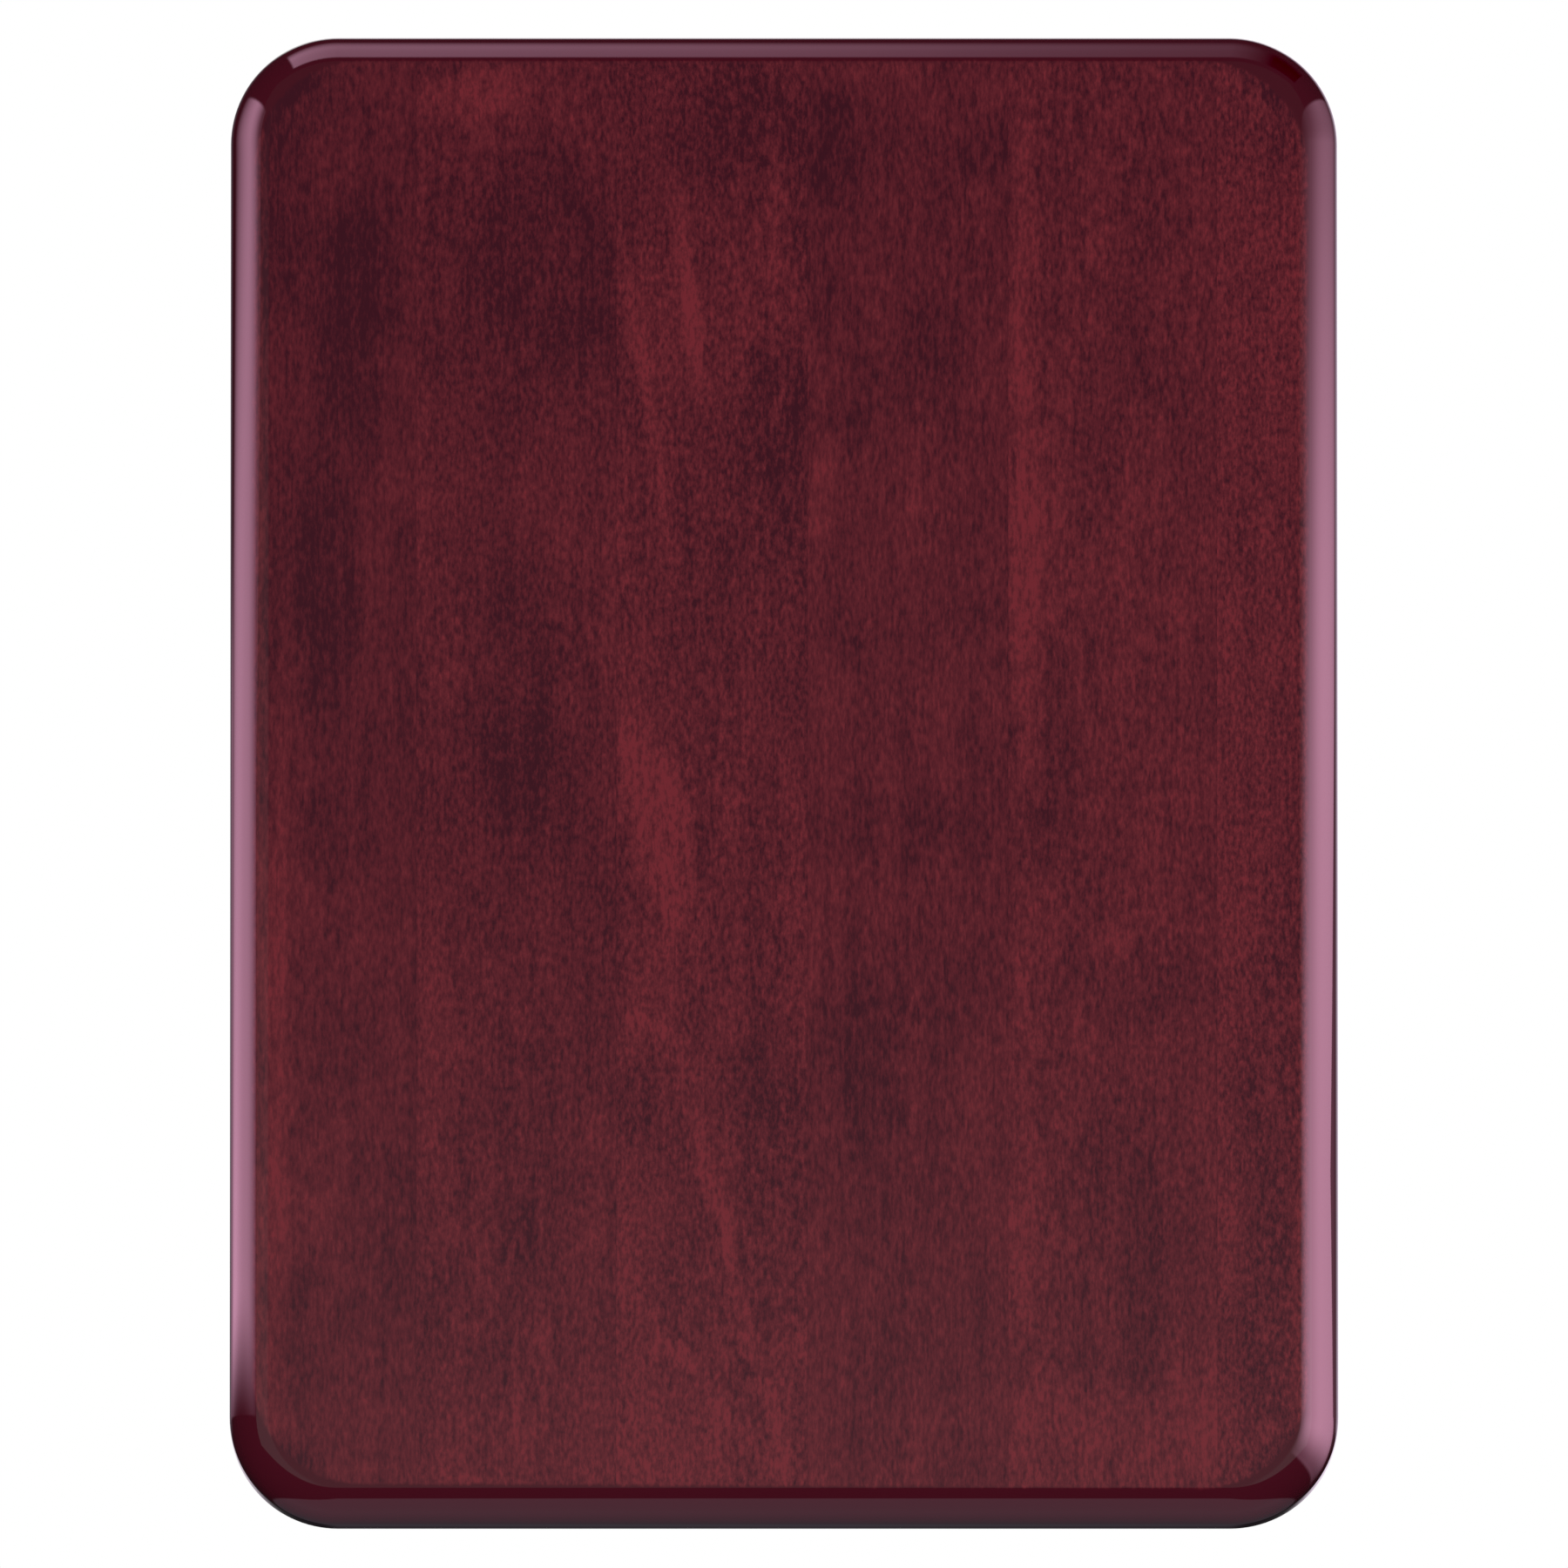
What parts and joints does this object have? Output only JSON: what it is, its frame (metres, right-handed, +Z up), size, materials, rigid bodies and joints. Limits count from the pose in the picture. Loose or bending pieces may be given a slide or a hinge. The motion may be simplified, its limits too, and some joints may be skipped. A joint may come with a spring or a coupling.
{
  "type": "wooden wall plaque",
  "caption": "Blank award plaque: a lacquered board of edge-glued staves with rounded corners and front edge, a flocked back and recessed keyhole plates to hang it upright or on its side.",
  "frame": {"origin": "middle of the backing sheet's outer face, which lies against the wall", "axes": "+Z up along the grain with the plaque hung upright, +X to the right for someone who faces its front, +Y into the wall, so the front faces -Y"},
  "size_m": [0.226, 0.0196, 0.3048],
  "materials": {
    "lacquered_wood": "red-brown stained hardwood under a thick clear high-gloss lacquer",
    "flocked_backing": "black flock, matt",
    "zinc_plate": "zinc-plated stamped steel",
    "zinc_screw": "zinc-plated steel with a slight yellow passivation"
  },
  "bodies": {
    "root": {"stave_1": "lacquered_wood", "stave_2": "lacquered_wood", "stave_3": "lacquered_wood", "stave_4": "lacquered_wood", "stave_5": "lacquered_wood", "stave_6": "lacquered_wood", "backing_sheet": "flocked_backing", "portrait_keyhole_plate": "zinc_plate", "portrait_plate_screws": "zinc_screw", "landscape_keyhole_plate": "zinc_plate", "landscape_plate_screws": "zinc_screw"}
  },
  "joints": []
}
